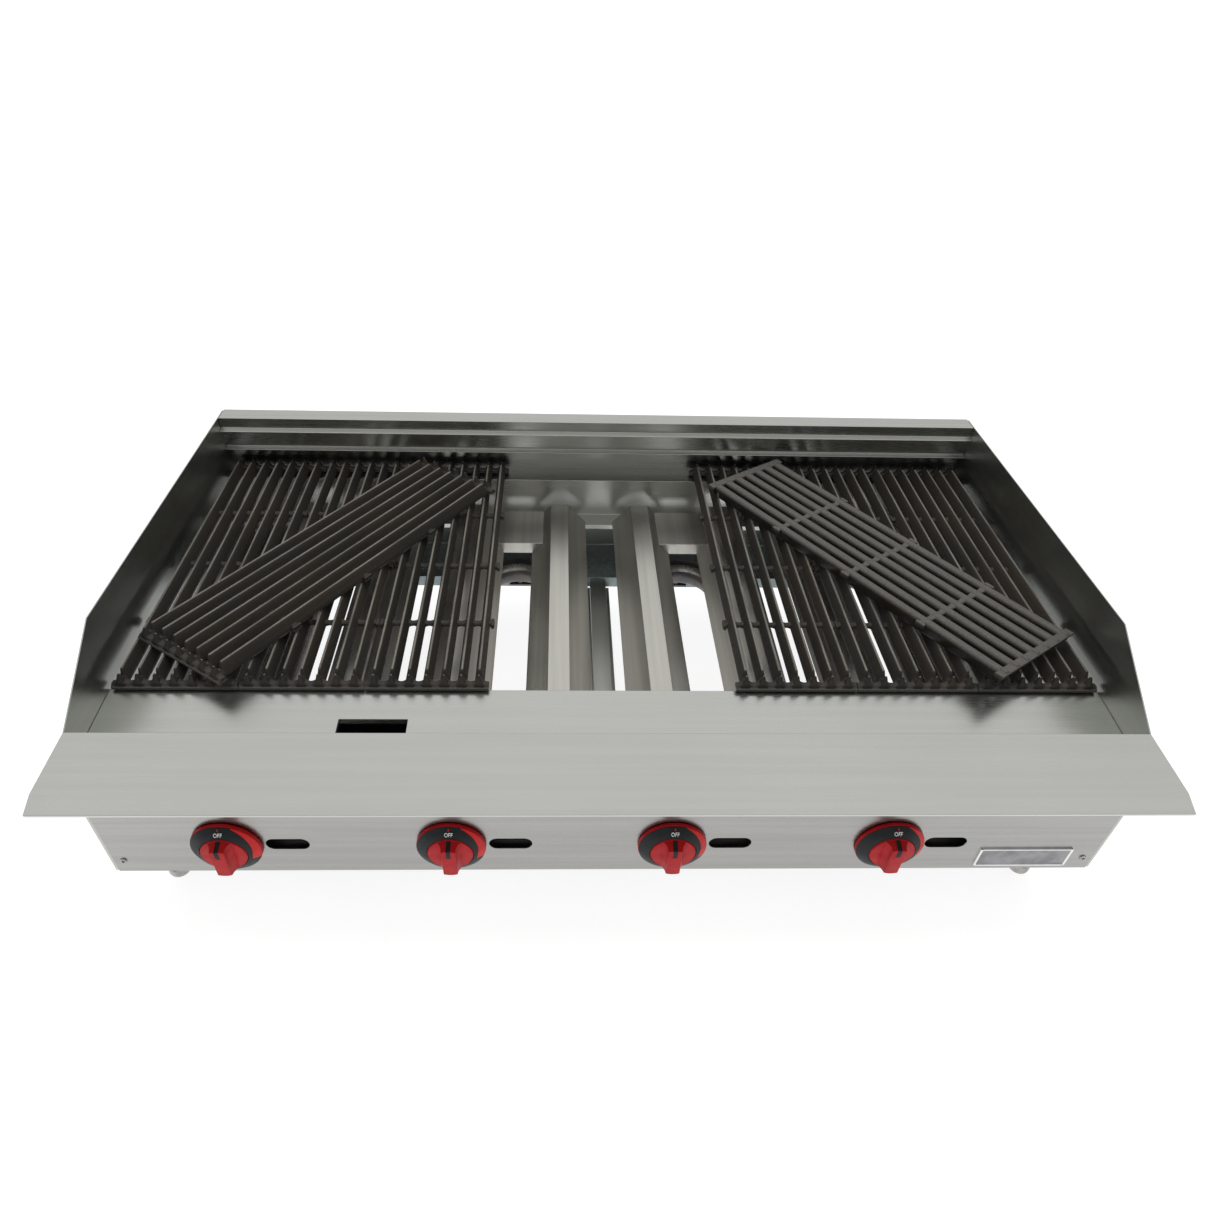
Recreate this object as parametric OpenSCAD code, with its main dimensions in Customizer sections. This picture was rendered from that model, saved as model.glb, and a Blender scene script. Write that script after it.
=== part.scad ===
// Countertop gas radiant charbroiler with four burners and eight cast-iron grates.
// Millimetres. +Z is up, +X is to the user's right, and the user stands at -Y.
// The origin is on the floor, under the middle of the bounding box.

/* [Body] */
// Overall width over the side panels
body_w = 1219; // [1190:1:1260]
// Depth from the ledge's nose to the back of the top flange
body_d = 755; // [750:1:790]
// Height from the bottom of the body to the rear edge of the front ledge
body_h = 211; // [208:1:240]
// Rise of the side panels above the ledge
side_rise = 65; // [62:1:90]
// Height of the adjustable legs with the feet screwed in
leg_h = 102; // [95:1:125]
// Thickness of the stainless sheet
sheet_t = 1.5; // [1.2:0.1:1.8]

/* [Front ledge and trough] */
// Projection of the front ledge, from its rear edge to its nose
ledge_d = 105; // [100:1:115]
// Front-to-back width of the grease trough
trough_d = 100; // [96:1:104]
// Depth of the trough under the ledge's rear edge, at the grates
trough_drop = 30; // [26:1:34]
// Width of the grease chute hole
chute_w = 81; // [60:1:100]
// Front-to-back length of the grease chute hole
chute_l = 26; // [20:1:40]

/* [Grates] */
// Pitch between grate centres
grate_pitch = 151; // [150:0.5:151.5]
// Width of one grate
grate_w = 149.5; // [146:0.5:149.5]
// Length of one grate
grate_l = 533; // [525:1:536]
// Height of one grate
grate_h = 22; // [20:1:24]
// Number of bars in one grate
grate_bars = 7; // [7:1:8]
// Angle of the two loose grates from front-to-back
loose_angle = 34; // [32:1:36]
// Sideways distance of a loose grate's middle from the centre line
loose_x = 378; // [374:1:382]

/* [Burners and radiants] */
// Pitch between burner centres
burner_pitch = 266; // [264:1:270]
// Outside radius of a burner tube
burner_r = 19; // [16:0.5:21]
// Width of a radiant's flat top
radiant_top_w = 28; // [24:1:32]
// Width over a radiant's lower edges
radiant_base_w = 88; // [80:1:92]
// Height of a radiant
radiant_h = 31.7; // [28:0.1:34]

/* [Controls] */
// Outside diameter of a knob
knob_d = 83; // [76:1:86]
// Distance from the panel to the end of the knob's grip
knob_l = 29; // [27:1:34]
// Height of the knobs above the bottom of the body
knob_z = 54; // [50:1:58]
// Radius of a valve stem
stem_r = 4; // [3:0.5:5]

/* [Hidden] */
$fn = 48;

// Clearance between pieces that lift or turn and what they rest on or run in
gap = 0.3;
running_gap = 0.06;

// The datum is the rear edge of the front ledge. Every place below is given from it:
// x from the centre line, y to the back and z up.
gas_stub = 25;
datum_y = ledge_d - (body_d + gas_stub) / 2;
datum_z = leg_h + body_h;
half_w = body_w / 2;
inner_w = half_w - sheet_t - 0.2;
rear_y = body_d - ledge_d;
bottom_z = -body_h;

// Front ledge
nose_d = 22;
nose_drop = 8;
ledge_drop = 4;
ledge_hem = 30;

// Control panel, with its face in front of the ledge's rear edge
panel_y = -35;
panel_half_w = 605;
panel_top_z = -8;
flange_w = 20;
slot_len = 52;
slot_w = 20;
slot_offset = 71;

// Side panels
slope_d = 118;

// Backsplash: face of each step, its lip, and the grate shelf
flange_y = rear_y - 31;
lip_reach = 9;
lip_drop = 2.4;
upper_lip_z = side_rise - 18.4;
middle_lip_z = side_rise - 50;
shelf_front_y = 602;
shelf_rear_y = 643;
grate_seat_z = -trough_drop;

// Radiants rest on two ledges
radiant_base_z = -95.7;
radiant_front_y = 122;
radiant_rear_y = 580;
radiant_pitch = burner_pitch / 2;
bridge_y = 486;
bridge_drop = 13;
ledge_reach = 34;

// Burners
burner_z = bottom_z + knob_z;
burner_leg = 61.5;
bend_y = 461;
wall_y = trough_d;
guide_front_y = wall_y + sheet_t;

// Rear cross member
member_front_y = 542;
member_top_z = -185;

// Gas train
pipe_r = 13.35;
thread_r = 13.1;
thread_l = 20;
manifold_z = burner_z - 33;
manifold_half = 560;
supply_x = 577;
valve_y = -6;

// Legs
leg_x = 583;
leg_front_y = 36;
leg_rear_y = 610;
plate_t = 3;
plate_half = 26;
foot_r = 14.25;
foot_h = 28;
foot_stud_r = 6;

// Grates
grate_y = wall_y - 4 + grate_l / 2;
bar_pitch = (grate_w - 2 * 10.5) / (grate_bars - 1) - 0.3;
loose_y = 343;

function burner_x(i) = (i - 2.5) * burner_pitch;
function knob_x(i) = burner_x(i) - burner_leg;
function slope_width(base_w, top_w, h, t) = t * norm([(base_w - top_w) / 2, h]) / h;

// A sheet profile of [y, z] points, drawn along X
module along_x(points, x0, x1) {
    translate([x0, datum_y, datum_z])
        rotate([90, 0, 90])
            linear_extrude(x1 - x0)
                polygon(points);
}

// A sheet profile of [x, z] points, drawn along Y
module along_y(points, y0, y1, x = 0) {
    translate([x, datum_y + y1, datum_z])
        rotate([90, 0, 0])
            linear_extrude(y1 - y0)
                polygon(points);
}

// A box between two corners
module block(low, high) {
    translate([low[0], datum_y + low[1], datum_z + low[2]])
        cube(high - low);
}

module at_datum(place) {
    translate([place[0], datum_y + place[1], datum_z + place[2]])
        children();
}

// A round bar or hole from y0 to y1
module rod_y(x, z, r, y0, y1) {
    at_datum([x, y1, z])
        rotate([90, 0, 0])
            cylinder(r = r, h = y1 - y0);
}

module rod_x(y, z, r, x0, x1) {
    at_datum([x0, y, z])
        rotate([0, 90, 0])
            cylinder(r = r, h = x1 - x0);
}

module rod_z(x, y, r, z0, z1) {
    at_datum([x, y, z0])
        cylinder(r = r, h = z1 - z0);
}

// Outline of a side panel with its folded bottom and front flanges
module side_panel() {
    outline = [
        [panel_y + sheet_t, bottom_z],
        [panel_y + sheet_t, panel_top_z],
        [0, panel_top_z],
        [0, 0],
        [slope_d, side_rise],
        [rear_y - 4, side_rise],
        [rear_y - 4, bottom_z]
    ];
    color("silver") difference() {
        union() {
            along_x(outline, -half_w, -half_w + sheet_t);
            block([-half_w, panel_y + sheet_t, bottom_z],
                  [-half_w + 26, rear_y - 8, bottom_z + sheet_t]);
            block([-half_w, panel_y + sheet_t, bottom_z],
                  [-half_w + flange_w, panel_y + 2 * sheet_t, panel_top_z]);
        }
        rod_y(-half_w + 16.6, bottom_z + 22, 2.1, panel_y, panel_y + 10);
    }
}

module left_side_panel() {
    side_panel();
}

module right_side_panel() {
    mirror([1, 0, 0]) side_panel();
}

module rear_panel() {
    color("silver") difference() {
        block([-inner_w, shelf_rear_y + sheet_t + 0.1, bottom_z + sheet_t + 0.1],
              [inner_w, shelf_rear_y + 2 * sheet_t + 0.1, side_rise - sheet_t - 0.1]);
        rod_y(supply_x, manifold_z, pipe_r + 1.5, shelf_rear_y, shelf_rear_y + 10);
    }
}

// One step of the backsplash: a face with a lip folded forward at its foot
function step_profile(face_y, top_z, lip_z) = [
    [face_y, top_z],
    [face_y, lip_z + lip_drop],
    [face_y - lip_reach, lip_z],
    [face_y - lip_reach, lip_z - sheet_t],
    [face_y + sheet_t, lip_z + lip_drop - sheet_t],
    [face_y + sheet_t, top_z]
];

module upper_splash() {
    color("silver") union() {
        along_x(step_profile(flange_y, side_rise, upper_lip_z), -inner_w, inner_w);
        block([-inner_w, flange_y, side_rise - sheet_t], [inner_w, rear_y, side_rise]);
    }
}

module middle_splash() {
    color("silver")
        along_x(step_profile(flange_y + sheet_t + 0.1, side_rise - 4, middle_lip_z), -inner_w, inner_w);
}

// Lower face of the backsplash and the shelf that carries the grates' rear ends
module rear_grate_shelf() {
    profile = [
        [shelf_rear_y + sheet_t, side_rise - 6],
        [shelf_rear_y, side_rise - 6],
        [shelf_rear_y, grate_seat_z],
        [shelf_front_y, grate_seat_z],
        [shelf_front_y, grate_seat_z - 14],
        [shelf_front_y + sheet_t, grate_seat_z - 14],
        [shelf_front_y + sheet_t, grate_seat_z - sheet_t],
        [shelf_rear_y + sheet_t, grate_seat_z - sheet_t]
    ];
    color("silver") along_x(profile, -inner_w, inner_w);
}

// Heat wall under the shelf, with the ledge that carries the radiants' rear ends
module rear_radiant_ledge() {
    y = shelf_front_y + sheet_t + 0.1;
    z = radiant_base_z - gap;
    profile = [
        [y, grate_seat_z - sheet_t - 0.1],
        [y, z],
        [y - ledge_reach, z],
        [y - ledge_reach, z - 8],
        [y - ledge_reach + sheet_t, z - 8],
        [y - ledge_reach + sheet_t, z - sheet_t],
        [y + sheet_t, z - sheet_t],
        [y + sheet_t, grate_seat_z - sheet_t - 0.1]
    ];
    color("silver") along_x(profile, -inner_w, inner_w);
}

// Full-width ledge: gently sloped top, sloped nose, hem, and the trough's front wall
module front_ledge() {
    crease = [-(ledge_d - nose_d), -ledge_drop];
    nose = [-ledge_d, -ledge_drop - nose_drop];
    hem_z = nose[1] - 4.5;
    top = [
        [0, 0],
        crease,
        nose,
        [nose[0] + 1.5, hem_z],
        [nose[0] + ledge_hem, hem_z],
        [nose[0] + ledge_hem, hem_z + sheet_t],
        [nose[0] + 3.2, hem_z + sheet_t],
        [nose[0] + 2.4, nose[1] - 0.6],
        [crease[0] + 0.4, crease[1] - sheet_t],
        [0, -sheet_t]
    ];
    color("silver") union() {
        along_x(top, -half_w, half_w);
        block([-inner_w, -sheet_t, -trough_drop - 8], [inner_w, 0, -0.5]);
    }
}

module grease_trough() {
    floor_front = [0.1, grate_seat_z - gap - 6];
    floor_rear = [trough_d, grate_seat_z - gap];
    profile = [
        floor_front,
        floor_rear,
        [trough_d, floor_rear[1] - 22],
        [trough_d - sheet_t, floor_rear[1] - 22],
        [trough_d - sheet_t, floor_rear[1] - sheet_t - 0.1],
        [floor_front[0], floor_front[1] - sheet_t]
    ];
    color("silver") difference() {
        along_x(profile, -inner_w, inner_w);
        chute_cut(0);
    }
}

chute_x = -285;
chute_y = 40;
module chute_cut(grow) {
    block([chute_x - chute_w / 2 - grow, chute_y - chute_l / 2 - grow, -60],
          [chute_x + chute_w / 2 + grow, chute_y + chute_l / 2 + grow, -20]);
}

// Folded duct that drops the grease from the trough
module grease_chute() {
    top_z = grate_seat_z - 12;
    foot_z = top_z - 60;
    wall = sheet_t;
    low = [chute_x - chute_w / 2 - wall, chute_y - chute_l / 2 - wall];
    high = [chute_x + chute_w / 2 + wall, chute_y + chute_l / 2 + wall];
    color("silver") difference() {
        block([low[0], low[1], foot_z], [high[0], high[1], top_z]);
        block([low[0] + wall, low[1] + wall, foot_z - 1],
              [high[0] - wall, high[1] - wall, top_z + 1]);
    }
}

module pill_slot(x, z, length, width) {
    reach = (length - width) / 2;
    rod_y(x - reach, z, width / 2, panel_y - 2, panel_y + 4);
    rod_y(x + reach, z, width / 2, panel_y - 2, panel_y + 4);
    block([x - reach, panel_y - 2, z - width / 2], [x + reach, panel_y + 4, z + width / 2]);
}

module control_panel() {
    color("silver") difference() {
        union() {
            block([-panel_half_w, panel_y, bottom_z], [panel_half_w, panel_y + sheet_t, panel_top_z]);
            block([-panel_half_w + 24, panel_y, bottom_z],
                  [panel_half_w - 24, panel_y + 14, bottom_z + sheet_t]);
        }
        for (i = [1:4]) {
            rod_y(knob_x(i), burner_z, stem_r + 2, panel_y - 2, panel_y + 4);
            pill_slot(knob_x(i) + slot_offset, burner_z, slot_len, slot_w);
        }
        for (s = [-1, 1])
            rod_y(s * (half_w - 16.6), bottom_z + 22, 2.1, panel_y - 1, panel_y + 4);
    }
}

module nameplate() {
    plate_w = 117;
    plate_h = 35;
    color("gainsboro")
        block([515 - plate_w / 2, panel_y - 2.5, -186 - plate_h / 2],
              [515 + plate_w / 2, panel_y, -186 + plate_h / 2]);
}

// Wall between the firebox and the controls, with the radiants' front ledge
module front_heat_wall() {
    z = radiant_base_z - gap;
    reach = 38;
    color("silver") difference() {
        union() {
            block([-inner_w, wall_y + 0.1, bottom_z + 5], [inner_w, wall_y + 0.1 + sheet_t, -36]);
            block([-inner_w, wall_y + 0.1, z - sheet_t], [inner_w, wall_y + reach, z]);
        }
        for (i = [1:4]) {
            rod_y(knob_x(i), burner_z, burner_r + 0.5, wall_y - 2, wall_y + 4);
            rod_y(burner_x(i) + pilot_offset, pilot_z, 5, wall_y - 2, wall_y + 4);
        }
        rod_y(supply_x, manifold_z, pipe_r + 1.5, wall_y - 2, wall_y + 4);
    }
}

// Low cross member that carries the burners' rear bends
module rear_cross_member() {
    z = member_top_z;
    profile = [
        [member_front_y, z - 20],
        [member_front_y, z],
        [shelf_rear_y, z],
        [shelf_rear_y, z - sheet_t],
        [member_front_y + sheet_t, z - sheet_t],
        [member_front_y + sheet_t, z - 20]
    ];
    color("slategray") difference() {
        along_x(profile, -inner_w, inner_w);
        block([supply_x - pipe_r - 2, member_front_y - 1, z - 21],
              [inner_w + 1, shelf_rear_y + 1, z + 1]);
    }
}

// Angle rails across the bottom of the body
module base_rail(y0, y1, upright_y) {
    color("gray") union() {
        block([-inner_w + 26, y0, bottom_z + sheet_t + 0.1],
              [inner_w - 26, y1, bottom_z + sheet_t + 2.1]);
        block([-inner_w + 26, upright_y, bottom_z + sheet_t + 0.1],
              [inner_w - 26, upright_y + 2, bottom_z + 6.5]);
    }
}

module front_base_rail() {
    base_rail(panel_y + 16, 60, 58);
}

module rear_base_rail() {
    base_rail(612, 642, 612);
}

// Hat-shaped guide down the middle of the open bottom, for the drip trays
module centre_tray_guide() {
    top_z = -190;
    foot_z = -207;
    half_top = 13.5;
    half_foot = 20;
    color("gainsboro") union() {
        block([-half_top, guide_front_y + 1, top_z - sheet_t],
              [half_top, member_front_y - 0.1, top_z]);
        for (s = [-1, 1]) {
            block([s * (half_top - sheet_t / 2) - sheet_t / 2, guide_front_y + 1, foot_z],
                  [s * (half_top - sheet_t / 2) + sheet_t / 2, member_front_y - 0.1, top_z]);
            block([s * (half_foot + half_top - sheet_t) / 2 - (half_foot - half_top + sheet_t) / 2,
                   guide_front_y + 1, foot_z - sheet_t],
                  [s * (half_foot + half_top - sheet_t) / 2 + (half_foot - half_top + sheet_t) / 2,
                   member_front_y - 0.1, foot_z]);
        }
    }
}

module side_tray_guides() {
    color("slategray")
        for (s = [-1, 1])
            block([s * (inner_w - 32) - 31.9, guide_front_y + 1, bottom_z + 3.8],
                  [s * (inner_w - 32) + 31.9, member_front_y - 0.1, bottom_z + 5.3]);
}

// Pipe across the front, with a boss up to each valve and the four pilot bosses
boss_r = 8;
boss_top_z = manifold_z + 20;
pilot_offset = 20;
pilot_z = burner_z + 2;
module gas_manifold() {
    color("dimgray") union() {
        rod_x(valve_y, manifold_z, pipe_r, -manifold_half, manifold_half - 12);
        rod_x(valve_y, manifold_z, pipe_r + 4, -manifold_half - 14, -manifold_half);
        for (i = [1:4]) {
            rod_z(knob_x(i), valve_y, boss_r, manifold_z, boss_top_z);
            rod_z(burner_x(i) + pilot_offset, valve_y, 6, manifold_z, manifold_z + pipe_r + 3);
        }
    }
}

// Elbow and pipe from the manifold to the connection behind the body
module gas_supply_pipe() {
    color("dimgray") union() {
        rod_x(valve_y, manifold_z, pipe_r + 3.5, manifold_half - 12, supply_x);
        at_datum([supply_x, valve_y, manifold_z])
            sphere(r = pipe_r + 3.5);
        rod_y(supply_x, manifold_z, pipe_r + 3.5, valve_y, valve_y + 28);
        rod_y(supply_x, manifold_z, pipe_r, valve_y, rear_y + gas_stub - thread_l);
        rod_y(supply_x, manifold_z, thread_r, rear_y, rear_y + gas_stub);
    }
}

module pilot_valves() {
    color("goldenrod")
        for (i = [1:4])
            at_datum([burner_x(i) + pilot_offset, valve_y, manifold_z + pipe_r + 3.1])
                union() {
                    cylinder(r = 6, h = 8, $fn = 6);
                    cylinder(r = 3.5, h = 11);
                }
}

// Each pilot tube rises from its valve to an elbow, and runs back through the heat wall
// to the pilot's nozzle beside the burner
module pilot_tubes() {
    tube_r = 3;
    elbow_r = 4.5;
    start_z = manifold_z + pipe_r + 14.2;
    color("goldenrod")
        for (i = [1:4]) {
            x = burner_x(i) + pilot_offset;
            rod_z(x, valve_y, tube_r, start_z, pilot_z);
            at_datum([x, valve_y, pilot_z])
                sphere(r = elbow_r);
            rod_y(x, pilot_z, tube_r, valve_y, wall_y + 31);
            rod_y(x, pilot_z, tube_r + 2, wall_y + 30, wall_y + 52);
        }
}

// A straight tube along Y, open at both ends
module tube_y(x, z, r, wall, y0, y1) {
    at_datum([x, y1, z])
        rotate([90, 0, 0])
            linear_extrude(y1 - y0)
                difference() {
                    circle(r = r);
                    circle(r = r - wall);
                }
}

// U-shaped tube: the left leg is the inlet with its air mixer, the right leg is capped.
// Ports are slots across the tube's top.
module burner(i) {
    leg = burner_leg;
    wall = 2;
    inlet_y = 26;
    front_y = wall_y + 25;
    x = burner_x(i);
    foot_z = member_top_z + gap;
    color("dimgray") difference() {
        union() {
            tube_y(x - leg, burner_z, burner_r, wall, inlet_y, bend_y);
            tube_y(x + leg, burner_z, burner_r, wall, front_y, bend_y);
            at_datum([x, bend_y, burner_z])
                rotate_extrude(angle = 180)
                    translate([leg, 0])
                        difference() {
                            circle(r = burner_r);
                            circle(r = burner_r - wall);
                        }
            tube_y(x - leg, burner_z, burner_r + 4, 5, inlet_y, inlet_y + 22);
            rod_y(x + leg, burner_z, burner_r - wall + 0.5, front_y + 1, front_y + 3);
            block([x - 18, bend_y + leg - 6, foot_z], [x + 18, bend_y + leg + 22, foot_z + 3]);
            block([x - 3, bend_y + leg - 4, foot_z + 1],
                  [x + 3, bend_y + leg + 16, burner_z - burner_r + 2]);
        }
        for (s = [-1, 1])
            for (k = [0:10])
                block([x + s * leg - 9, wall_y + 45 + 28 * k, burner_z + burner_r - 5],
                      [x + s * leg + 9, wall_y + 48 + 28 * k, burner_z + burner_r + 1]);
    }
}

// Outer and inner outline of a radiant's folded sheet
function radiant_outline(t) =
    let (a = radiant_top_w / 2)
    let (b = radiant_base_w / 2)
    let (side_t = slope_width(radiant_base_w, radiant_top_w, radiant_h, t))
    let (a_in = a - side_t + t * (b - a) / radiant_h)
    let (z = radiant_base_z)
    [
        [-b, z],
        [-a, z + radiant_h],
        [a, z + radiant_h],
        [b, z],
        [b - side_t, z],
        [a_in, z + radiant_h - t],
        [-a_in, z + radiant_h - t],
        [-b + side_t, z]
    ];

// Two radiants over the burner's legs, joined at the rear by a box over its bend
module radiant_set(i) {
    x = burner_x(i);
    slope = (radiant_base_w - radiant_top_w) / 2 / radiant_h;
    top_z = radiant_base_z + radiant_h - bridge_drop;
    foot_half = radiant_pitch / 2 - radiant_base_w / 2 + 0.6;
    top_half = foot_half + (radiant_h - bridge_drop) * slope;
    color("gainsboro") union() {
        for (s = [-1, 1])
            along_y(radiant_outline(sheet_t), radiant_front_y, radiant_rear_y,
                    x + s * radiant_pitch / 2);
        along_y([
            [-top_half, top_z],
            [top_half, top_z],
            [top_half - sheet_t * slope, top_z - sheet_t],
            [-top_half + sheet_t * slope, top_z - sheet_t]
        ], bridge_y, radiant_rear_y, x);
        along_y([
            [-top_half, top_z],
            [top_half, top_z],
            [foot_half, radiant_base_z],
            [-foot_half, radiant_base_z]
        ], bridge_y, bridge_y + sheet_t, x);
    }
}

// Valve on the manifold, with the orifice hood pointing into the burner's inlet
module valve(i) {
    x = knob_x(i);
    color("goldenrod") difference() {
        union() {
            rod_z(x, valve_y, boss_r + 2, boss_top_z + 0.1, burner_z - 4);
            block([x - 13, valve_y - 12, burner_z - 12], [x + 13, valve_y + 14, burner_z + 12]);
            rod_y(x, burner_z, 9, valve_y + 14, valve_y + 22);
            rod_y(x, burner_z, 6, valve_y + 22, valve_y + 30);
        }
        rod_y(x, burner_z, stem_r + running_gap, valve_y - 13, valve_y + 4);
        rod_y(x, burner_z, 1.2, valve_y + 20, valve_y + 31);
    }
}

module valve_stem(i) {
    color("silver")
        rod_y(knob_x(i), burner_z, stem_r, panel_y - bore_l, valve_y + 3.5);
}

// Knob parts are drawn facing up and then turned to face the user
module facing_user(i) {
    at_datum([knob_x(i), panel_y, burner_z])
        rotate([90, 0, 0])
            children();
}

skirt_foot = 0.8;
skirt_top = 5.3;
dial_top = 14.6;
hub_r = 27;
hub_top = 16;
bore_l = 22;

// Red moulding: a thin skirt, the round hub, and a tapered bar to grip across the hub
module knob(i) {
    grip_base_w = 27;
    grip_tip_w = 17;
    tip_chamfer = 1.5;
    grip_h = knob_l - hub_top;
    color("crimson") facing_user(i) difference() {
        union() {
            translate([0, 0, skirt_foot])
                cylinder(r = knob_d / 2, h = skirt_top - skirt_foot);
            translate([0, 0, skirt_top])
                cylinder(r1 = hub_r + 0.8, r2 = hub_r, h = hub_top - skirt_top);
            translate([0, 0, hub_top])
                intersection() {
                    cylinder(r1 = hub_r - 0.4, r2 = hub_r - 4, h = grip_h);
                    rotate([90, 0, 0])
                        translate([0, 0, -hub_r - 1])
                            linear_extrude(2 * hub_r + 2)
                                polygon([
                                    [-grip_base_w / 2, 0],
                                    [grip_base_w / 2, 0],
                                    [grip_tip_w / 2, grip_h - tip_chamfer],
                                    [grip_tip_w / 2 - tip_chamfer, grip_h],
                                    [-grip_tip_w / 2 + tip_chamfer, grip_h],
                                    [-grip_tip_w / 2, grip_h - tip_chamfer]
                                ]);
                }
        }
        translate([0, 0, -1])
            cylinder(r = stem_r, h = bore_l + 1);
    }
}

// Dial ring: a cone with the knob's hub standing through it
module knob_dial(i) {
    color("dimgray") facing_user(i) difference() {
        translate([0, 0, skirt_top + 0.1])
            cylinder(r1 = knob_d / 2 - 0.8, r2 = hub_r + 2.4, h = dial_top - skirt_top - 0.1);
        translate([0, 0, skirt_top - 1])
            cylinder(r = hub_r + 1.1, h = dial_top - skirt_top + 2);
    }
}

// One bar of a grate, cut square across: ridge, sloping sides and rounded underside
bar_outline = [
    [-1.6, grate_h],
    [1.6, grate_h],
    [3.2, grate_h - 7],
    [6, 7],
    [5.4, 3],
    [3.4, 1],
    [-3.4, 1],
    [-5.4, 3],
    [-6, 7],
    [-3.2, grate_h - 7]
];
cross_spots = [-143, -15, 118];
cross_foot_z = 3;
cross_h = 7;

// A cast grate lying flat with its feet on z = 0 and its middle over the origin
module grate_casting() {
    half_l = grate_l / 2;
    side_x = grate_w / 2;
    notch_l = 5;
    difference() {
        union() {
            for (k = [0:grate_bars - 1])
                translate([(k - (grate_bars - 1) / 2) * bar_pitch, half_l - 1.5, 0])
                    rotate([90, 0, 0])
                        linear_extrude(grate_l - 3)
                            polygon(bar_outline);
            for (s = [-1, 1])
                translate([-side_x, s * (half_l - 6) - 6, 2])
                    cube([grate_w, 12, 11]);
            for (y = cross_spots)
                translate([-side_x + 3, y - 5, cross_foot_z])
                    cube([grate_w - 6, 10, cross_h]);
            for (y = cross_spots)
                for (s = [-1, 1])
                    translate([s * (side_x - 2) - 2, y - 7, cross_foot_z - 1])
                        cube([4, 14, cross_h]);
            for (s = [-1, 1])
                for (k = [0:grate_bars - 1])
                    translate([(k - (grate_bars - 1) / 2) * bar_pitch - 2.5, s * (half_l - 7) - 5, 0])
                        cube([5, 10, 3]);
        }
        for (s = [-1, 1])
            translate([-side_x - 1, s * (half_l - 13) - notch_l / 2, grate_h - 5])
                cube([grate_w + 2, notch_l, 6]);
    }
}

// Grates 1 to 3 sit on the left, 4 to 6 on the right; 7 and 8 lie loose across them,
// and 8 lies with its ridges down
module grate(i) {
    color("dimgray") {
        if (i <= 3)
            at_datum([(i - 4.5) * grate_pitch, grate_y, grate_seat_z])
                grate_casting();
        else if (i <= 6)
            at_datum([(i - 2.5) * grate_pitch, grate_y, grate_seat_z])
                grate_casting();
        else if (i == 7)
            at_datum([-loose_x, loose_y, grate_seat_z + grate_h + gap])
                rotate([0, 0, -loose_angle])
                    grate_casting();
        else
            at_datum([loose_x, loose_y, grate_seat_z + 2 * grate_h + gap])
                rotate([0, 0, loose_angle])
                    rotate([0, 180, 0])
                        grate_casting();
    }
}

function leg_place(i) = [
    (i % 2 == 1 ? -1 : 1) * leg_x,
    i <= 2 ? leg_front_y : leg_rear_y
];

// Leg tubes with their mounting plates, one at each corner
module leg_sockets() {
    tube_foot_z = -datum_z + foot_h + gap;
    color("gainsboro")
        for (i = [1:4]) {
            p = leg_place(i);
            difference() {
                union() {
                    block([p[0] - plate_half, p[1] - plate_half, bottom_z - plate_t],
                          [p[0] + plate_half, p[1] + plate_half, bottom_z]);
                    at_datum([p[0], p[1], tube_foot_z])
                        cylinder(r1 = 17, r2 = 21, h = bottom_z - plate_t - tube_foot_z + 0.01);
                }
                rod_z(p[0], p[1], foot_stud_r + running_gap, tube_foot_z - 1, bottom_z + 1);
            }
        }
}

// Adjustable foot with its stud in the leg tube
module foot(i) {
    p = leg_place(i);
    color("silver")
        at_datum([p[0], p[1], -datum_z])
            union() {
                cylinder(r1 = foot_r - 4, r2 = foot_r, h = 4);
                translate([0, 0, 4])
                    cylinder(r = foot_r, h = foot_h - 4);
                translate([0, 0, foot_h])
                    cylinder(r = foot_stud_r, h = 60);
            }
}

// Screws through the control panel's ends
module screws() {
    color("gainsboro")
        for (s = [-1, 1]) {
            rod_y(s * (half_w - 16.6), bottom_z + 22, 4.2, panel_y - 2.2, panel_y);
            rod_y(s * (half_w - 16.6), bottom_z + 22, 1.9, panel_y - 0.1, panel_y + 12);
        }
}

left_side_panel();
right_side_panel();
rear_panel();
upper_splash();
middle_splash();
rear_grate_shelf();
rear_radiant_ledge();
front_ledge();
grease_trough();
grease_chute();
control_panel();
nameplate();
front_heat_wall();
rear_cross_member();
front_base_rail();
rear_base_rail();
centre_tray_guide();
side_tray_guides();
gas_manifold();
gas_supply_pipe();
pilot_valves();
pilot_tubes();
for (i = [1:4]) {
    burner(i);
    radiant_set(i);
    valve(i);
    valve_stem(i);
    knob(i);
    knob_dial(i);
    foot(i);
}
for (i = [1:8])
    grate(i);
leg_sockets();
screws();
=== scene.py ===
"""Looks for the countertop charbroiler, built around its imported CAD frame.

The CAD's sheet metal, radiants and gas train stay and get finishes and softened edges.
Grates, knobs, badge, screws and feet are replaced by detailed pieces. Shapes are drawn in
millimetres and scaled once, in Shape.build().
"""

import math

import bmesh
import bpy
from mathutils import Matrix, Vector


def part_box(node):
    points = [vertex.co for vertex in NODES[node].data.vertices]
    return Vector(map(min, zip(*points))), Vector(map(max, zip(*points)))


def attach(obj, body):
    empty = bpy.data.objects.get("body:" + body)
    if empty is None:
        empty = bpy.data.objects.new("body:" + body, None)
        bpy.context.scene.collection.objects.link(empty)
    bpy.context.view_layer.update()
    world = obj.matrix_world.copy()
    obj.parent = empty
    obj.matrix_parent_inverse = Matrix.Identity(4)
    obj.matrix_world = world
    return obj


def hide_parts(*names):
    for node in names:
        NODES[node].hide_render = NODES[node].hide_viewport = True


MM = 0.001
QUARTER_TURN = math.pi / 2

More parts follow.
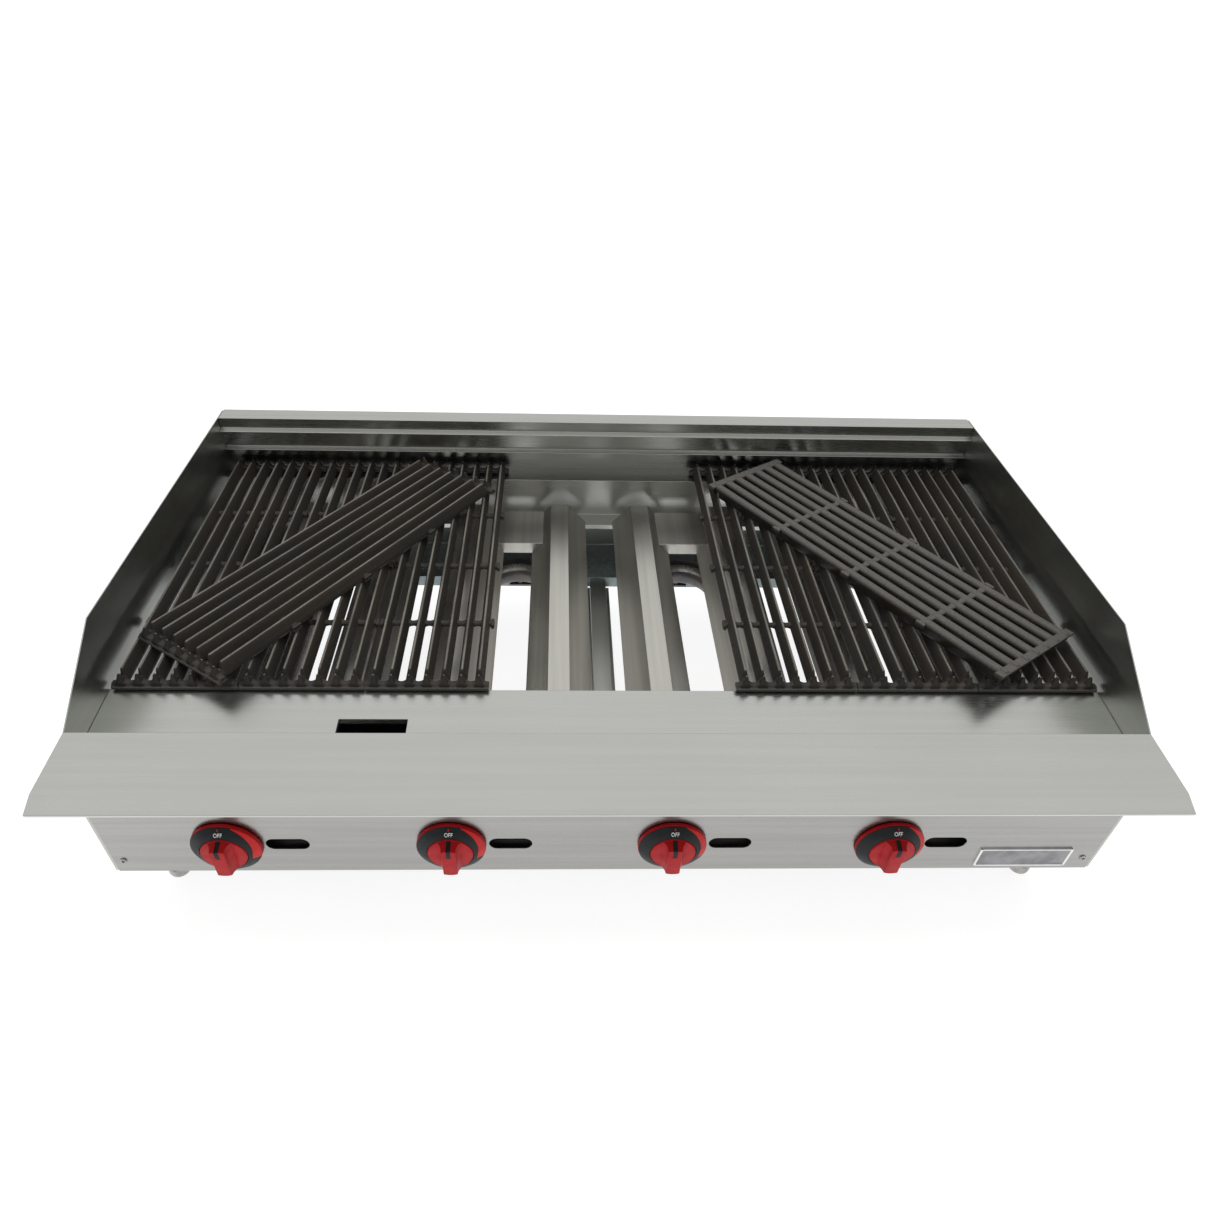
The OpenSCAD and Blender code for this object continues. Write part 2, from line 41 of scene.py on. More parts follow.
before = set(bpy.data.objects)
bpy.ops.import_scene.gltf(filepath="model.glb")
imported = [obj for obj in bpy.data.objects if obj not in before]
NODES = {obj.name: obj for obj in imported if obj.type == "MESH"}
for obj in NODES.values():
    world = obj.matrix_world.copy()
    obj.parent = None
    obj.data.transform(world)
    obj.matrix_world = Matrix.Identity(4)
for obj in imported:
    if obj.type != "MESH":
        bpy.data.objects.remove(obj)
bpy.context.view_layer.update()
FOUR = (1, 2, 3, 4)


# ---------------------------------------------------------------- materials


class Paint:
    """A material's node tree, written one node at a time."""

    def __init__(self, name, color, metallic, roughness):
        self.material = bpy.data.materials.new(name)
        self.material.use_nodes = True
        self.tree = self.material.node_tree
        self.bsdf = self.tree.nodes["Principled BSDF"]
        self.bsdf.inputs["Base Color"].default_value = (*color, 1)
        self.bsdf.inputs["Metallic"].default_value = metallic
        self.bsdf.inputs["Roughness"].default_value = roughness
        self.place = self.add("ShaderNodeTexCoord").outputs["Object"]

    def add(self, kind, **values):
        node = self.tree.nodes.new(kind)
        for key, value in values.items():
            if key in node.inputs:
                self.feed(node.inputs[key], value)
            else:
                setattr(node, key, value)
        return node

    def feed(self, socket, value):
        if isinstance(value, bpy.types.NodeSocket):
            self.tree.links.new(value, socket)
        else:
            socket.default_value = value

    def noise(self, stretch, detail=3.0, rough=0.55):
        """Noise from 0 to 1, with so many cells to a metre along X, Y and Z."""
        mapping = self.add("ShaderNodeMapping", Vector=self.place, Scale=stretch)
        noise = self.add(
            "ShaderNodeTexNoise",
            Vector=mapping.outputs[0],
            Scale=1.0,
            Detail=detail,
            Roughness=rough,
        )
        return noise.outputs["Fac"]

    def ramp(self, value, low, high, to_low, to_high):
        node = self.add("ShaderNodeMapRange", Value=value, interpolation_type="SMOOTHSTEP")
        for key, number in (
            ("From Min", low),
            ("From Max", high),
            ("To Min", to_low),
            ("To Max", to_high),
        ):
            node.inputs[key].default_value = number
        return node.outputs[0]

    def math(self, operation, a, b):
        node = self.add("ShaderNodeMath", operation=operation)
        self.feed(node.inputs[0], a)
        self.feed(node.inputs[1], b)
        return node.outputs[0]

    def blend(self, fac, a, b):
        """Colour a where fac is 0 and colour b where it is 1. Either may be a socket."""
        node = self.add("ShaderNodeMix", data_type="RGBA")
        self.feed(node.inputs["Factor"], fac)
        for socket, color in ((node.inputs[6], a), (node.inputs[7], b)):
            is_socket = isinstance(color, bpy.types.NodeSocket)
            self.feed(socket, color if is_socket else (*color, 1))
        return node.outputs[2]

    def height_mask(self, low, high):
        """0 under low and 1 over high, in millimetres of the piece's own Z."""
        split = self.add("ShaderNodeSeparateXYZ", Vector=self.place)
        return self.ramp(split.outputs["Z"], low * MM, high * MM, 0, 1)

    def finish(self, color=None, roughness=None, height=None, strength=0.2, distance=0.2):
        """Links what is given, and bumps the surface by height over distance millimetres."""
        if color is not None:
            self.feed(self.bsdf.inputs["Base Color"], color)
        if roughness is not None:
            self.feed(self.bsdf.inputs["Roughness"], roughness)
        if height is not None:
            bump = self.add(
                "ShaderNodeBump", Height=height, Strength=strength, Distance=distance * MM
            )
            self.feed(self.bsdf.inputs["Normal"], bump.outputs[0])
        return self.material


def brushed_steel(name, grain, light, dark, rough):
    """Stainless with its polishing lines along one axis, faint smears and long streaks."""
    axis = "XYZ".index(grain)

    def along(length, across):
        return tuple(length if i == axis else across for i in range(3))

    p = Paint(name, light, 1.0, rough)
    lines = p.noise(along(4, 900), detail=2.0)
    streaks = p.noise(along(2.2, 110), detail=4.0)
    smears = p.noise((5, 5, 5), detail=3.0)
    color = p.blend(p.ramp(streaks, 0.3, 0.7, 0, 1), dark, light)
    gloss = p.ramp(smears, 0.3, 0.7, rough - 0.03, rough + 0.04)
    gloss = p.math("ADD", gloss, p.ramp(lines, 0.3, 0.7, -0.03, 0.03))
    return p.finish(color, gloss, lines, strength=0.08, distance=0.02)


def cast_iron():
    """Iron: sandy skin, raw tone underneath, painted shade darkening the bars' sides, rubbed bare
    on top.
    """
    p = Paint("cast_iron", (0.06, 0.055, 0.048), 0.2, 0.55)
    sand = p.noise((620, 620, 620), detail=4.0, rough=0.7)
    lumps = p.noise((240, 240, 240), detail=4.0)
    bloom = p.noise((22, 9, 22), detail=4.0)
    scrapes = p.noise((260, 14, 60), detail=3.0)
    # Dark body tone in random patches, used as painted shade on the bars' sides.
    body = p.blend(p.ramp(bloom, 0.35, 0.7, 0, 1), (0.026, 0.0245, 0.021), (0.038, 0.031, 0.024))
    raw = (0.088, 0.083, 0.074)
    # Raw tone below 3 mm and the darker body above 8 mm: painted shade on the bars' steep sides,
    # which light from above leaves dim.
    body = p.blend(p.height_mask(3.0, 8.0), raw, body)
    worn = p.math("MULTIPLY", p.height_mask(21.0, 21.9), p.ramp(scrapes, 0.32, 0.6, 0.35, 0.9))
    color = p.blend(worn, body, (0.17, 0.158, 0.138))
    color = p.blend(p.ramp(sand, 0.42, 0.56, 0.3, 0), color, (0.012, 0.011, 0.01))
    gloss = p.math("SUBTRACT", p.ramp(lumps, 0.3, 0.7, 0.52, 0.66), p.math("MULTIPLY", worn, 0.12))
    skin = p.math("ADD", sand, p.math("MULTIPLY", lumps, 0.7))
    return p.finish(color, gloss, skin, strength=0.6, distance=0.35)


def moulded_plastic(name, color, deep, rough):
    """Satin moulding with a fine spark-eroded skin and slightly handled patches."""
    p = Paint(name, color, 0.0, rough)
    p.bsdf.inputs["Specular IOR Level"].default_value = 0.22
    skin = p.noise((1400, 1400, 1400), detail=2.0)
    handled = p.noise((70, 70, 70), detail=3.0)
    tint = p.blend(p.ramp(handled, 0.35, 0.7, 0, 1), color, deep)
    gloss = p.ramp(handled, 0.3, 0.7, rough - 0.05, rough + 0.08)
    return p.finish(tint, gloss, skin, strength=0.15, distance=0.05)


def plated(name, light, dark, rough):
    """Nickel or chrome plate with faint hairlines and dull spots."""
    p = Paint(name, light, 1.0, rough)
    spots = p.noise((90, 90, 90), detail=4.0)
    hair = p.noise((60, 900, 400), detail=2.0)
    color = p.blend(p.ramp(spots, 0.4, 0.75, 0, 1), light, dark)
    gloss = p.ramp(spots, 0.3, 0.75, rough - 0.04, rough + 0.1)
    return p.finish(color, gloss, hair, strength=0.06, distance=0.04)


def galvanised():
    """Zinc-coated sheet: small spangles of slightly different grey, satin."""
    p = Paint("galvanised", (0.24, 0.29, 0.3), 0.85, 0.4)
    cells = p.add("ShaderNodeTexVoronoi", Vector=p.place, Scale=140.0)
    tone = p.add("ShaderNodeSeparateColor", Color=cells.outputs["Color"]).outputs[0]
    color = p.blend(tone, (0.2, 0.25, 0.26), (0.3, 0.345, 0.35))
    gloss = p.ramp(tone, 0, 1, 0.32, 0.48)
    return p.finish(color, gloss, p.noise((500, 500, 500)), strength=0.08, distance=0.05)


def heat_tinted_steel():
    """Burner tube, browned and blued by the flame."""
    p = Paint("burner_steel", (0.16, 0.14, 0.13), 0.9, 0.42)
    bands = p.noise((14, 30, 14), detail=4.0)
    scale = p.noise((300, 300, 300), detail=4.0)
    color = p.blend(p.ramp(bands, 0.3, 0.7, 0, 1), (0.17, 0.145, 0.125), (0.09, 0.095, 0.115))
    gloss = p.ramp(scale, 0.3, 0.7, 0.34, 0.55)
    return p.finish(color, gloss, scale, strength=0.2, distance=0.1)


def satin_metal(name, light, dark, metallic, rough):
    """Machined brass, or dull black pipe."""
    p = Paint(name, light, metallic, rough)
    tarnish = p.noise((45, 45, 45), detail=4.0)
    fine = p.noise((700, 700, 700), detail=3.0)
    color = p.blend(p.ramp(tarnish, 0.35, 0.7, 0, 1), light, dark)
    gloss = p.ramp(tarnish, 0.3, 0.7, rough - 0.05, rough + 0.12)
    return p.finish(color, gloss, fine, strength=0.12, distance=0.06)


def studio_floor():
    p = Paint("studio_floor", (0.3, 0.3, 0.3), 0.0, 0.7)
    p.bsdf.inputs["Specular IOR Level"].default_value = 0.1
    p.bsdf.inputs["Emission Color"].default_value = (1.0, 1.0, 1.0, 1)
    p.bsdf.inputs["Emission Strength"].default_value = 0.84
    tone = p.ramp(p.noise((3, 3, 3)), 0.3, 0.7, 0, 1)
    return p.finish(p.blend(tone, (0.29, 0.29, 0.288), (0.31, 0.31, 0.308)))


STEEL_X = brushed_steel("steel_long_grain", "X", (0.55, 0.555, 0.53), (0.525, 0.53, 0.505), 0.3)
STEEL_Y = brushed_steel("steel_side_grain", "Y", (0.47, 0.48, 0.455), (0.45, 0.46, 0.435), 0.34)
# Same stainless made darker: painted shade that dims the control panel's reflection of the bright
# floor.
STEEL_PANEL_SHADED = brushed_steel("steel_panel_painted_shade", "X", (0.37, 0.366, 0.357), (0.335, 0.331, 0.322), 0.28)
STEEL_RADIANT = brushed_steel("steel_radiant", "Y", (0.58, 0.57, 0.53), (0.51, 0.5, 0.465), 0.33)
# Near-black steel for the grease chute: painted shade for the dark inside of the chute.
STEEL_CHUTE_SHADE = brushed_steel("steel_chute_painted_shade", "X", (0.05, 0.048, 0.044), (0.03, 0.028, 0.026), 0.4)
IRON = cast_iron()
RED = moulded_plastic("knob_red", (0.46, 0.004, 0.008), (0.38, 0.003, 0.006), 0.42)
CHARCOAL = moulded_plastic("dial_charcoal", (0.012, 0.0135, 0.015), (0.017, 0.0185, 0.02), 0.5)
WHITE_PRINT = moulded_plastic("print_white", (0.85, 0.85, 0.84), (0.78, 0.78, 0.77), 0.5)
RED_PRINT = moulded_plastic("print_red", (0.66, 0.02, 0.02), (0.58, 0.015, 0.015), 0.4)
# Black for the knob pointers' print, and for painted shade in the screws' recesses.
BLACK_PRINT_AND_SHADE = moulded_plastic("black_print_and_painted_shade", (0.008, 0.008, 0.009), (0.012, 0.012, 0.012), 0.35)
NICKEL = plated("nickel", (0.42, 0.41, 0.39), (0.3, 0.29, 0.275), 0.28)
CHROME = plated("badge_chrome", (0.78, 0.78, 0.79), (0.68, 0.68, 0.69), 0.12)
BADGE_FACE = satin_metal("badge_face", (0.3, 0.3, 0.31), (0.24, 0.24, 0.25), 0.9, 0.38)
ZINC = galvanised()
BURNER = heat_tinted_steel()
BRASS = satin_metal("brass", (0.66, 0.5, 0.24), (0.5, 0.37, 0.18), 1.0, 0.3)
BLACK_PIPE = satin_metal("black_pipe", (0.035, 0.035, 0.038), (0.06, 0.055, 0.05), 0.6, 0.45)


# ---------------------------------------------------------------- shape tools


class Shape:
    """A mesh drawn in millimetres, from lofts and lathes."""

    def __init__(self):
        self.points = []
        self.faces = []

    def loft(self, rings, caps=True):
        """A skin over closed rings that have the same number of points."""
        first = len(self.points)
        count = len(rings[0])
        for ring in rings:
            self.points.extend(Vector(p) for p in ring)
        for r in range(len(rings) - 1):
            for k in range(count):
                a = first + r * count + k
                b = first + r * count + (k + 1) % count
                self.faces.append((a, b, b + count, a + count))
        if caps:
            last = first + (len(rings) - 1) * count
            self.faces.append(tuple(reversed(range(first, first + count))))
            self.faces.append(tuple(range(last, last + count)))
        return self

    def lathe(self, profile, sides=96):
        """A closed turning about Z. The profile is a closed loop of (radius, z)."""
        turns = [2 * math.pi * k / sides for k in range(sides)]
        rings = [[(r * math.cos(a), r * math.sin(a), z) for r, z in profile] for a in turns]
        return self.loft(rings + rings[:1], caps=False)

    def box(self, low, high, chamfer):
        """A block with its upright edges cut by a chamfer, and the others by half of it."""
        x0, y0, z0 = low
        x1, y1, z1 = high

        def level(z, inset):
            c = chamfer
            a0, b0, a1, b1 = x0 + inset, y0 + inset, x1 - inset, y1 - inset
            corners = (
                (a0 + c, b0),
                (a1 - c, b0),
                (a1, b0 + c),
                (a1, b1 - c),
                (a1 - c, b1),
                (a0 + c, b1),
                (a0, b1 - c),
                (a0, b0 + c),
            )
            return [(x, y, z) for x, y in corners]

        half = chamfer / 2
        levels = (level(z0, half), level(z0 + half, 0), level(z1 - half, 0), level(z1, half))
        return self.loft(levels)

    def place(self, matrix):
        self.points = [matrix @ p for p in self.points]
        return self

    def add(self, other):
        first = len(self.points)
        self.points.extend(other.points)
        self.faces.extend(tuple(i + first for i in face) for face in other.faces)
        return self

    def mesh(self, name, sharp_degrees=35):
        data = bpy.data.meshes.new(name)
        data.from_pydata([p * MM for p in self.points], [], self.faces)
        return tidy_mesh(data, sharp_degrees)

    def build(self, name, material, body, slot, replaces=(), matrix=None):
        return show(self.mesh(name), name, material, body, replaces, matrix)


SAME_POINT = 1e-6
NO_LENGTH = 1e-7


def tidy_mesh(data, sharp_degrees):
    """Joins doubled points, turns the faces outwards and smooths all but the sharp edges."""
    work = bmesh.new()
    work.from_mesh(data)
    bmesh.ops.remove_doubles(work, verts=work.verts, dist=SAME_POINT)
    bmesh.ops.dissolve_degenerate(work, edges=work.edges, dist=NO_LENGTH)
    bmesh.ops.recalc_face_normals(work, faces=work.faces)
    work.to_mesh(data)
    work.free()
    data.shade_smooth()
    data.set_sharp_from_angle(angle=math.radians(sharp_degrees))
    return data


def show(data, name, material, body, replaces=(), matrix=None):
    """Puts a mesh in the scene as one piece of the object."""
    piece = bpy.data.objects.new(name, data)
    bpy.context.scene.collection.objects.link(piece)
    if matrix is not None:
        piece.matrix_world = matrix
    if not data.materials:
        data.materials.append(material)
    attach(piece, body)
    if replaces:
        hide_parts(*replaces)
    return piece


def merged(shape, name, sharp_degrees):
    """The shape's overlapping solids united into one skin."""
    scratch = bpy.data.objects.new(name + "_parts", shape.mesh(name + "_parts"))
    seed = bpy.data.objects.new(name + "_seed", Shape().box((0, 0, 4), (1, 1, 5), 0.1).mesh("seed"))
    for item in (scratch, seed):
        bpy.context.scene.collection.objects.link(item)
    unite = scratch.modifiers.new("unite", "BOOLEAN")
    unite.operation = "UNION"
    unite.solver = "EXACT"
    unite.use_self = True
    unite.object = seed
    ready = scratch.evaluated_get(bpy.context.evaluated_depsgraph_get())
    data = bpy.data.meshes.new_from_object(ready)
    data.name = name
    bpy.data.objects.remove(scratch)
    bpy.data.objects.remove(seed)
    return tidy_mesh(data, sharp_degrees)


CAD_SAME_POINT = 1e-5
FLAT_DEGREES = 0.5
EDGE_DEGREES = 32


def finish_node(name, material, edge=0.0):
    """Gives a CAD node its material, and rounds its edges by that many millimetres."""
    node = NODES[name]
    node.data.materials.clear()
    node.data.materials.append(material)
    if edge:
        weld = node.modifiers.new("weld", "WELD")
        weld.merge_threshold = CAD_SAME_POINT
        flats = node.modifiers.new("flats", "DECIMATE")
        flats.decimate_type = "DISSOLVE"
        flats.angle_limit = math.radians(FLAT_DEGREES)
        bevel = node.modifiers.new("bevel", "BEVEL")
        bevel.width = edge * MM
        bevel.segments = 2
        bevel.limit_method = "ANGLE"
        bevel.angle_limit = math.radians(EDGE_DEGREES)
        bevel.use_clamp_overlap = True
        flatten = node.modifiers.new("flatten", "WEIGHTED_NORMAL")
        flatten.mode = "FACE_AREA"
        flatten.weight = 100
        node.data.shade_smooth()


# ---------------------------------------------------------------- CAD nodes that stay

SHEET_EDGE = 0.6
RAIL_EDGE = 0.5
for node_name in (
    "rear_panel",
    "upper_splash",
    "middle_splash",
    "rear_grate_shelf",
    "rear_radiant_ledge",
    "front_ledge",
    "grease_trough",
    "front_heat_wall",
):
    finish_node(node_name, STEEL_X, SHEET_EDGE)
# The control panel gets the darkened steel, as painted shade on its reflection.
finish_node("control_panel", STEEL_PANEL_SHADED, SHEET_EDGE)
finish_node("centre_tray_guide", STEEL_Y, RAIL_EDGE)
# The chute's inside is made near black: painted shade.
finish_node("grease_chute", STEEL_CHUTE_SHADE)
for node_name in ("left_side_panel", "right_side_panel"):
    finish_node(node_name, STEEL_Y, SHEET_EDGE)
for node_name in ("rear_cross_member", "side_tray_guides", "front_base_rail", "rear_base_rail"):
    finish_node(node_name, ZINC, RAIL_EDGE)
for i in FOUR:
    finish_node(f"radiant_set_{i}", STEEL_RADIANT, SHEET_EDGE)
    finish_node(f"burner_{i}", BURNER)
    finish_node(f"valve_{i}", BRASS)
    finish_node(f"valve_stem_{i}", BRASS)
for node_name in ("pilot_valves", "pilot_tubes"):
    finish_node(node_name, BRASS)
for node_name in ("gas_manifold", "gas_supply_pipe"):
    finish_node(node_name, BLACK_PIPE)


# ---------------------------------------------------------------- cast-iron grates

BARS = 7
CAST_H = 22.0
CAST_L = 533.0
CAST_W = 149.5
BAR_PITCH = (CAST_W - 21.0) / (BARS - 1) - 0.3
CROSS_SPOTS = (-143.0, -15.0, 118.0)
END_WEB = (8.6, 12.8)
CROSS_WEB = (8.8, 11.0)
CROSS_FOOT = (3.9, 1.3)
CROSS_HALF = (4.0, 5.4)
LOOSE_ANGLE = math.radians(34)


def bar_section(y, top, half_top):
    """Outline of a bar across its length: a narrow ridge on a wide, round-bottomed base."""
    base_half, base_z = 6.0, 6.6
    shoulder = half_top + 0.36 * (base_half - half_top)
    side = [
        (half_top - 0.45, top),
        (half_top, top - 0.6),
        (shoulder, base_z + 0.53 * (top - base_z)),
        (base_half - 0.5, base_z + 1.9),
        (base_half, base_z - 0.6),
        (base_half - 0.4, 3.7),
        (base_half - 1.5, 1.9),
        (base_half - 3.2, 1.05),
    ]
    outline = side + [(-x, z) for x, z in reversed(side)]
    return [(x, y, z) for x, z in outline]


# From a bar's end inwards: distance from the casting's end, height and half width on top.
BAR_END = (
    (1.5, 10.5, 4.4),
    (2.4, 12.6, 4.0),
    (4.6, 17.0, 2.6),
    (6.4, 21.5, 1.5),
    (8.2, 21.6, 1.4),
    (9.4, 16.8, 2.2),
    (10.4, 13.0, 2.8),
    (14.0, 12.8, 2.8),
    (15.4, 16.0, 2.2),
    (16.6, 20.6, 1.6),
    (18.0, CAST_H, 1.5),
)


def bar_x(k):
    return (k - (BARS - 1) / 2) * BAR_PITCH


def grate_bar(k):
    half = CAST_L / 2
    stations = [(half - d, top, w) for d, top, w in BAR_END]
    stations += [(-y, top, w) for y, top, w in reversed(stations)]
    rings = [bar_section(y, top, w) for y, top, w in stations]
    return Shape().loft(rings).place(Matrix.Translation((bar_x(k), 0, 0)))


def scallop(x, between_and_beside):
    """Waves from one size between two bars to another beside each bar."""
    between, beside = between_and_beside
    wave = 0.5 + 0.5 * math.cos(2 * math.pi * (x - bar_x(0)) / BAR_PITCH)
    return between + (beside - between) * wave


def stations_across(half_w):
    steps = 8 * BARS
    return [-half_w + 2 * half_w * k / steps for k in range(steps + 1)]


def end_bar(side):
    """Cross-bar that closes the casting's end, with a thin lip at its foot."""
    rings = []
    for x in stations_across(CAST_W / 2):
        top = scallop(x, END_WEB)
        depth = ((0, 2.4), (0, 5.4), (2.2, 6.6), (3.2, top - 0.9), (5, top), (10.4, top - 0.4))
        depth += ((11.9, top - 2.0), (12.0, 3.4), (11, 2.2), (1, 1.9))
        rings.append([(x, side * (CAST_L / 2 - d), z) for d, z in depth])
    return Shape().loft(rings)


def cross_bar(y):
    """Cross-bar inside the casting, sagging between the bars."""
    rings = []
    for x in stations_across(CAST_W / 2 - 3):
        top = scallop(x, CROSS_WEB)
        foot = scallop(x, CROSS_FOOT)
        half = scallop(x, CROSS_HALF)
        ring = ((-half, foot + 1.2), (-half, top - 1.6), (-half + 1.5, top))
        ring += ((half - 1.5, top), (half, top - 1.6), (half, foot + 1.2))
        ring += ((half - 1.4, foot), (-half + 1.4, foot))
        rings.append([(x, y + d, z) for d, z in ring])
    return Shape().loft(rings)


def foot_pad(x, side):
    """Pad under a bar's end, which stands on the shelf or the trough's edge."""
    y = side * (CAST_L / 2 - 7)
    return Shape().box((x - 2.6, y - 5, 0), (x + 2.6, y + 5, 4), 1.0)


def side_lug(y, side):
    """Lug at a cross-bar's end, which spaces the casting from its neighbour."""
    x = side * (CAST_W / 2 - 2.2)
    return Shape().box((x - 2.2, y - 7, 2.2), (x + 2.2, y + 7, 9.8), 1.3)


def grate_mesh():
    casting = Shape()
    for k in range(BARS):
        casting.add(grate_bar(k))
    for side in (-1, 1):
        casting.add(end_bar(side))
        for k in range(BARS):
            casting.add(foot_pad(bar_x(k), side))
        for y in CROSS_SPOTS:
            casting.add(side_lug(y, side))
    for y in CROSS_SPOTS:
        casting.add(cross_bar(y))
    return merged(casting, "grate_casting", 38)


def grate_places():
    """Number, body and placing matrix of each grate. 7 and 8 lie loose, and 8 is upside down."""
    for i in range(1, 9):
        low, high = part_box(f"grate_{i}")
        side = "left" if i in (1, 2, 3, 7) else "right"
        middle = (low + high) / 2
        spot = Matrix.Translation((middle.x, middle.y, low.z))
        if i <= 6:
            yield i, side + "_grate_bank", spot
        elif i == 7:
            yield i, side + "_loose_grate", spot @ Matrix.Rotation(-LOOSE_ANGLE, 4, "Z")
        else:
            spot = Matrix.Translation((middle.x, middle.y, high.z))
            turned = Matrix.Rotation(LOOSE_ANGLE, 4, "Z") @ Matrix.Rotation(math.pi, 4, "Y")
            yield i, side + "_loose_grate", spot @ turned


casting_mesh = grate_mesh()
for i, body, spot in grate_places():
    show(casting_mesh, f"cast_grate_{i}", IRON, body, [f"grate_{i}"], spot)


# ---------------------------------------------------------------- knobs

KNOB_R = 41.5
SKIRT_FOOT = 0.8
SKIRT_TOP = 5.3
DIAL_TOP = 14.6
DIAL_OUT = 41.0
DIAL_IN = 27.9
HUB_R = 27.0
HUB_TOP = 16.0
GRIP_TOP = 29.0


def cone_z(radius, lift=0.0):
    """Height of the dial's slightly crowned cone at a radius."""
    share = (DIAL_OUT - radius) / (DIAL_OUT - DIAL_IN)
    crown = 0.9 * math.sin(math.pi * min(max(share, 0), 1))
    return SKIRT_TOP + 0.9 + (DIAL_TOP - SKIRT_TOP - 0.9) * share + crown + lift


def knob_body():
    """Skirt and hub in one turning, and the flared bar across the hub."""
    profile = (
        (5.0, SKIRT_FOOT + 1.6),
        (38.6, SKIRT_FOOT + 1.6),
        (39.4, SKIRT_FOOT),
        (KNOB_R - 0.5, SKIRT_FOOT),
        (KNOB_R, SKIRT_FOOT + 0.5),
        (KNOB_R, SKIRT_TOP - 0.8),
        (KNOB_R - 0.6, SKIRT_TOP),
        (DIAL_OUT - 1.6, SKIRT_TOP + 0.1),
        (HUB_R + 0.8, SKIRT_TOP + 0.2),
        (HUB_R + 0.2, HUB_TOP - 1.2),
        (HUB_R - 0.3, HUB_TOP - 0.3),
        (HUB_R - 1.2, HUB_TOP),
        (12.0, HUB_TOP + 0.2),
        (5.0, HUB_TOP + 0.2),
    )
    return Shape().lathe(profile).add(grip())


def grip_outline(half_w, radius, z):
    """Across the hub: straight flanks, and ends that follow a circle."""
    steps = 10
    ends = [half_w * (2 * k / steps - 1) for k in range(steps + 1)]
    top = [(x, math.sqrt(radius**2 - x**2), z) for x in ends]
    return top + [(x, -math.sqrt(radius**2 - x**2), z) for x in reversed(ends)]


def grip():
    """The bar, flared where it leaves the hub and drawn in towards its top."""
    rings = []
    levels = 9
    top_half, flare, draft = 8.4, 5.4, 3.2
    for k in range(levels + 1):
        t = k / levels
        half_w = top_half + flare * (1 - t) ** 2.1
        radius = HUB_R - 0.6 - draft * t
        rings.append(grip_outline(half_w, radius, HUB_TOP - 0.8 + t * (GRIP_TOP - HUB_TOP)))
    for inset, z in ((0.35, GRIP_TOP - 0.2), (1.1, GRIP_TOP)):
        rings.append(grip_outline(top_half - inset, HUB_R - 3.8 - inset, z))
    return Shape().loft(rings)


def dial_ring():
    """Charcoal cone between the skirt and the hub."""
    radii = [DIAL_OUT - (DIAL_OUT - DIAL_IN - 0.8) * k / 6 for k in range(7)]
    slope = [(r, cone_z(r)) for r in radii]
    foot = [(DIAL_IN, SKIRT_TOP + 0.3), (DIAL_OUT - 0.3, SKIRT_TOP + 0.3)]
    inner = [(DIAL_IN + 0.2, DIAL_TOP), (DIAL_IN, DIAL_TOP - 0.4)]
    profile = foot + slope + inner
    return Shape().lathe(profile)


def crescent():
    """Flow mark: widens from nothing near the top to a square-cut end past the right side."""
    start, end, steps = math.radians(70), math.radians(-20), 40
    narrow, wide, across = 0.3, 8.6, 6
    above, below = 0.14, -0.3
    rings = []
    for k in range(steps + 1):
        t = k / steps
        angle = start + (end - start) * t
        reach = narrow + (wide - narrow) * min(1.0, t / 0.85) ** 0.8
        radii = [DIAL_OUT - reach * j / across for j in range(across + 1)]
        ring = [(r, cone_z(r, above)) for r in radii]
        ring += [(r, cone_z(r, below)) for r in reversed(radii)]
        rings.append([(r * math.cos(angle), r * math.sin(angle), z) for r, z in ring])
    return Shape().loft(rings)


WORD_R = 33.0
FLAME_R = 38.2
CONE_SLANT = 0.78


def on_dial(points, radius):
    """Lays flat (x, y, depth) points on the cone, with their origin at the top of the dial."""
    placed = []
    for x, y, depth in points:
        r = radius + y * CONE_SLANT
        angle = QUARTER_TURN - x / radius
        placed.append(Vector((r * math.cos(angle), r * math.sin(angle), cone_z(r, depth))))
    return placed


def dial_word():
    """The off mark as thin letters lying on the cone."""
    curve_depth = 0.12
    curve = bpy.data.curves.new("off_word", "FONT")
    curve.body = "OFF"
    curve.size = 8.0
    curve.space_character = 1.02
    curve.align_x = "CENTER"
    curve.align_y = "CENTER"
    curve.extrude = curve_depth
    curve.offset = 0.03
    curve.resolution_u = 4
    text = bpy.data.objects.new("off_word", curve)
    bpy.context.scene.collection.objects.link(text)
    ready = text.evaluated_get(bpy.context.evaluated_depsgraph_get())
    data = bpy.data.meshes.new_from_object(ready)
    bpy.data.objects.remove(text)
    word = Shape()
    narrow = 0.7
    letters = [(v.co.x * narrow, v.co.y, v.co.z + curve_depth) for v in data.vertices]
    word.points = on_dial(letters, WORD_R)
    word.faces = [tuple(f.vertices) for f in data.polygons]
    return word


def flame():
    """Small flame mark that stands near the dial's edge."""
    outline = ((0, 1.7), (0.75, 0.3), (0.95, -0.6), (0.55, -1.4), (-0.55, -1.4))
    outline += ((-0.95, -0.6), (-0.4, -0.1), (-0.35, 0.8))
    levels = [on_dial([(x, y, depth) for x, y in outline], FLAME_R) for depth in (-0.1, 0.2)]
    return Shape().loft(levels)


